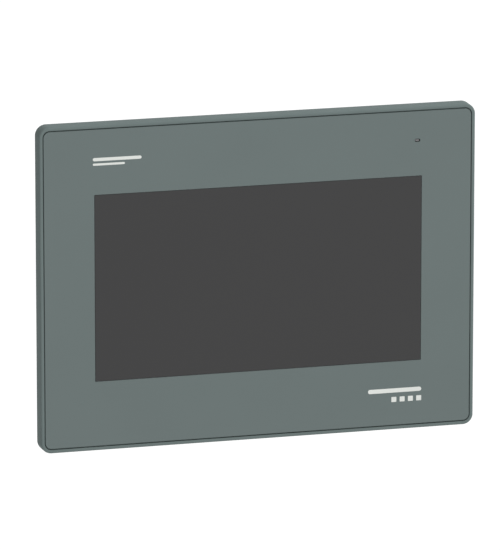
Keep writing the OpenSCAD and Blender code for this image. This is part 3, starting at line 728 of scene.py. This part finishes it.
def make_network_contacts():
    """The eight spring contacts of the network socket, seen through its mouth."""
    x = (SOCKET_LOW.x + SOCKET_HIGH.x) / 2
    pitch, wire = 1.02, 0.4
    low_z, high_z, y = SOCKET_LOW.z + 2.0, SOCKET_LOW.z + 11.5, SOCKET_LOW.y + 9.9
    path = [(y, low_z), (y - 2.4, low_z + 1.2), (y - 2.9, low_z + 2.2), (y - 0.6, high_z)]
    bm = bmesh.new()
    for i in range(8):
        add_wire(bm, x + (i - 3.5) * pitch, path, wire)
    place(new_object("network_contacts", bm), UNIT, "brass", GOLD)


TONGUE_START = 1.9         # how far inside the USB socket's mouth its tongue begins


def make_usb_tongue():
    """Tongue of the full-size USB socket and its four contact strips."""
    x = (USB_LOW.x + USB_HIGH.x) / 2
    tongue_low, tongue_high = USB_LOW.y + 3.5, USB_LOW.y + 5.3
    thick = 0.01 + tongue_high - tongue_low
    bm = bmesh.new()
    loft(bm, [ring(10.5, thick, 0.3, 0.0), ring(10.5, thick, 0.3, 10.2)])
    turn_up(bm, x, (tongue_low + tongue_high) / 2, USB_LOW.z + TONGUE_START)
    place(new_object("usb_tongue", bm), UNIT, "black_plastic", M["black_plastic"])
    bm = bmesh.new()
    for offset, start in ((-3.5, 0.4), (-1.0, 1.4), (1.0, 1.4), (3.5, 0.4)):
        loft(bm, [ring(1.1, 0.16, 0.05, start, offset), ring(1.1, 0.16, 0.05, 9.0, offset)])
    turn_up(bm, x, tongue_low - 0.02, USB_LOW.z + TONGUE_START)
    place(new_object("usb_contacts", bm), UNIT, "brass", GOLD)


def turn_up(bm, x, y, z):
    """Turns what was built along +Y, round the origin, to run along +Z from (x, y, z)."""
    for v in bm.verts:
        v.co = Vector((x * MM + v.co.x, y * MM + v.co.z, z * MM + v.co.y))


def make_label():
    """Rating label, left blank but for a frame and empty fields."""
    w, h = LABEL_HIGH.x - LABEL_LOW.x, LABEL_HIGH.z - LABEL_LOW.z
    x, z = (LABEL_LOW.x + LABEL_HIGH.x) / 2, (LABEL_LOW.z + LABEL_HIGH.z) / 2
    top = LABEL_HIGH.y
    bm = bmesh.new()
    loft(bm, [ring(w, h, 1.0, LABEL_LOW.y, x, z), ring(w, h, 1.0, top - 0.03, x, z),
              ring(w - 0.1, h - 0.1, 0.95, top, x, z)])
    place(new_object("label_form", bm), UNIT, "label_foil", M["label_foil"], "rating_label")
    bm = bmesh.new()
    line = 0.35
    for offset in (-h / 2 + 2, -h / 2 + 11, h / 2 - 13, h / 2 - 2):
        printed_bar(bm, x, z + offset, w - 4, line, top, 1)
    for offset in (-w / 2 + 2, w / 2 - 2):
        printed_bar(bm, x + offset, z, line, h - 4, top, 1)
    for i in range(3):
        printed_bar(bm, x + 9 - i * 1.5, z + 5.0 - i * 4.2, 34 - i * 3, 1.1, top, 1)
    place(new_object("label_fields", bm), UNIT, "label_foil", INK_DARK)


def dress_kept_nodes():
    """CAD nodes that keep their own mesh get their slot's material."""
    for node, obj in frame["nodes"].items():
        if obj.hide_render:
            continue
        obj.data.materials.clear()
        obj.data.materials.append(M[SLOT_OF[node]])


# ---------------------------------------------------------------- studio

FLOOR_DROP = 2900.0        # the panel hangs high above a plain floor, as if held by its cut-out
FLOOR_HALF = 24.0          # metres
WORLD_LEFT, WORLD_RIGHT = 0.165, 1.44
KEY_PLACE = (0.46, -0.80, 1.62)     # metres
KEY_SIZE = 1.1             # metres
KEY_POWER = 17.0           # watts


def make_floor():
    """Plain pale floor that glows a little, so that it is as pale as the surroundings."""
    bm = bmesh.new()
    half, z = FLOOR_HALF, (BEZEL_LOW.z - FLOOR_DROP) * MM
    bm.faces.new([bm.verts.new((sx * half, sy * half, z))
                  for sx, sy in ((-1, -1), (1, -1), (1, 1), (-1, 1))])
    floor = new_object("floor", bm)
    material = surface("floor", (0.25, 0.25, 0.25), 0.9, specular=0.1, grain=30.0, depth=0.0, mottle=0.004,
                       mottle_size=400.0)
    shader = material.node_tree.nodes["Principled BSDF"]
    shader.inputs["Emission Color"].default_value = (1.0, 1.0, 1.0, 1.0)
    shader.inputs["Emission Strength"].default_value = 0.86
    floor.data.materials.append(material)


def area_light(name, place_m, aim_m, size, power):
    """Square light of the given size, pointed from one place at another."""
    data = bpy.data.lights.new(name, "AREA")
    data.shape = "SQUARE"
    data.size = size
    data.energy = power
    light = bpy.data.objects.new(name, data)
    light.location = place_m
    light.rotation_euler = (Vector(aim_m) - Vector(place_m)).to_track_quat("-Z", "Y").to_euler()
    bpy.context.scene.collection.objects.link(light)


def make_world():
    """White surroundings, brighter from the right than from the left; the camera itself sees plain white."""
    world = bpy.data.worlds.new("studio")
    world.use_nodes = True
    tree = world.node_tree
    background = tree.nodes["Background"]
    background.inputs["Color"].default_value = (1.0, 1.0, 1.0, 1.0)
    coords = tree.nodes.new("ShaderNodeTexCoord")
    split = tree.nodes.new("ShaderNodeSeparateXYZ")
    tree.links.new(coords.outputs["Generated"], split.inputs["Vector"])
    across = spread(tree, split.outputs["X"], WORLD_LEFT, WORLD_RIGHT, -1.0, 1.0)
    path = tree.nodes.new("ShaderNodeLightPath")
    strength = spread(tree, path.outputs["Is Camera Ray"], 0.0, 1.0, 0.0, 1.0)
    tree.links.new(across, strength.node.inputs["To Min"])
    tree.links.new(strength, background.inputs["Strength"])
    bpy.context.scene.world = world


def make_lights():
    """The surroundings and one soft light above the operator's right shoulder."""
    make_world()
    area_light("key", KEY_PLACE, (0.0, 0.0, 0.0), KEY_SIZE, KEY_POWER)
    scene = bpy.context.scene
    scene.view_settings.view_transform = "Standard"
    scene.view_settings.look = "None"


add_camera()
make_bezel()
make_sheet()
make_window()
make_lens()
make_gasket()
make_marks()
make_case_screws()
make_clamps()
make_moulded()
make_network_contacts()
make_usb_tongue()
make_label()
dress_kept_nodes()
make_floor()
make_lights()
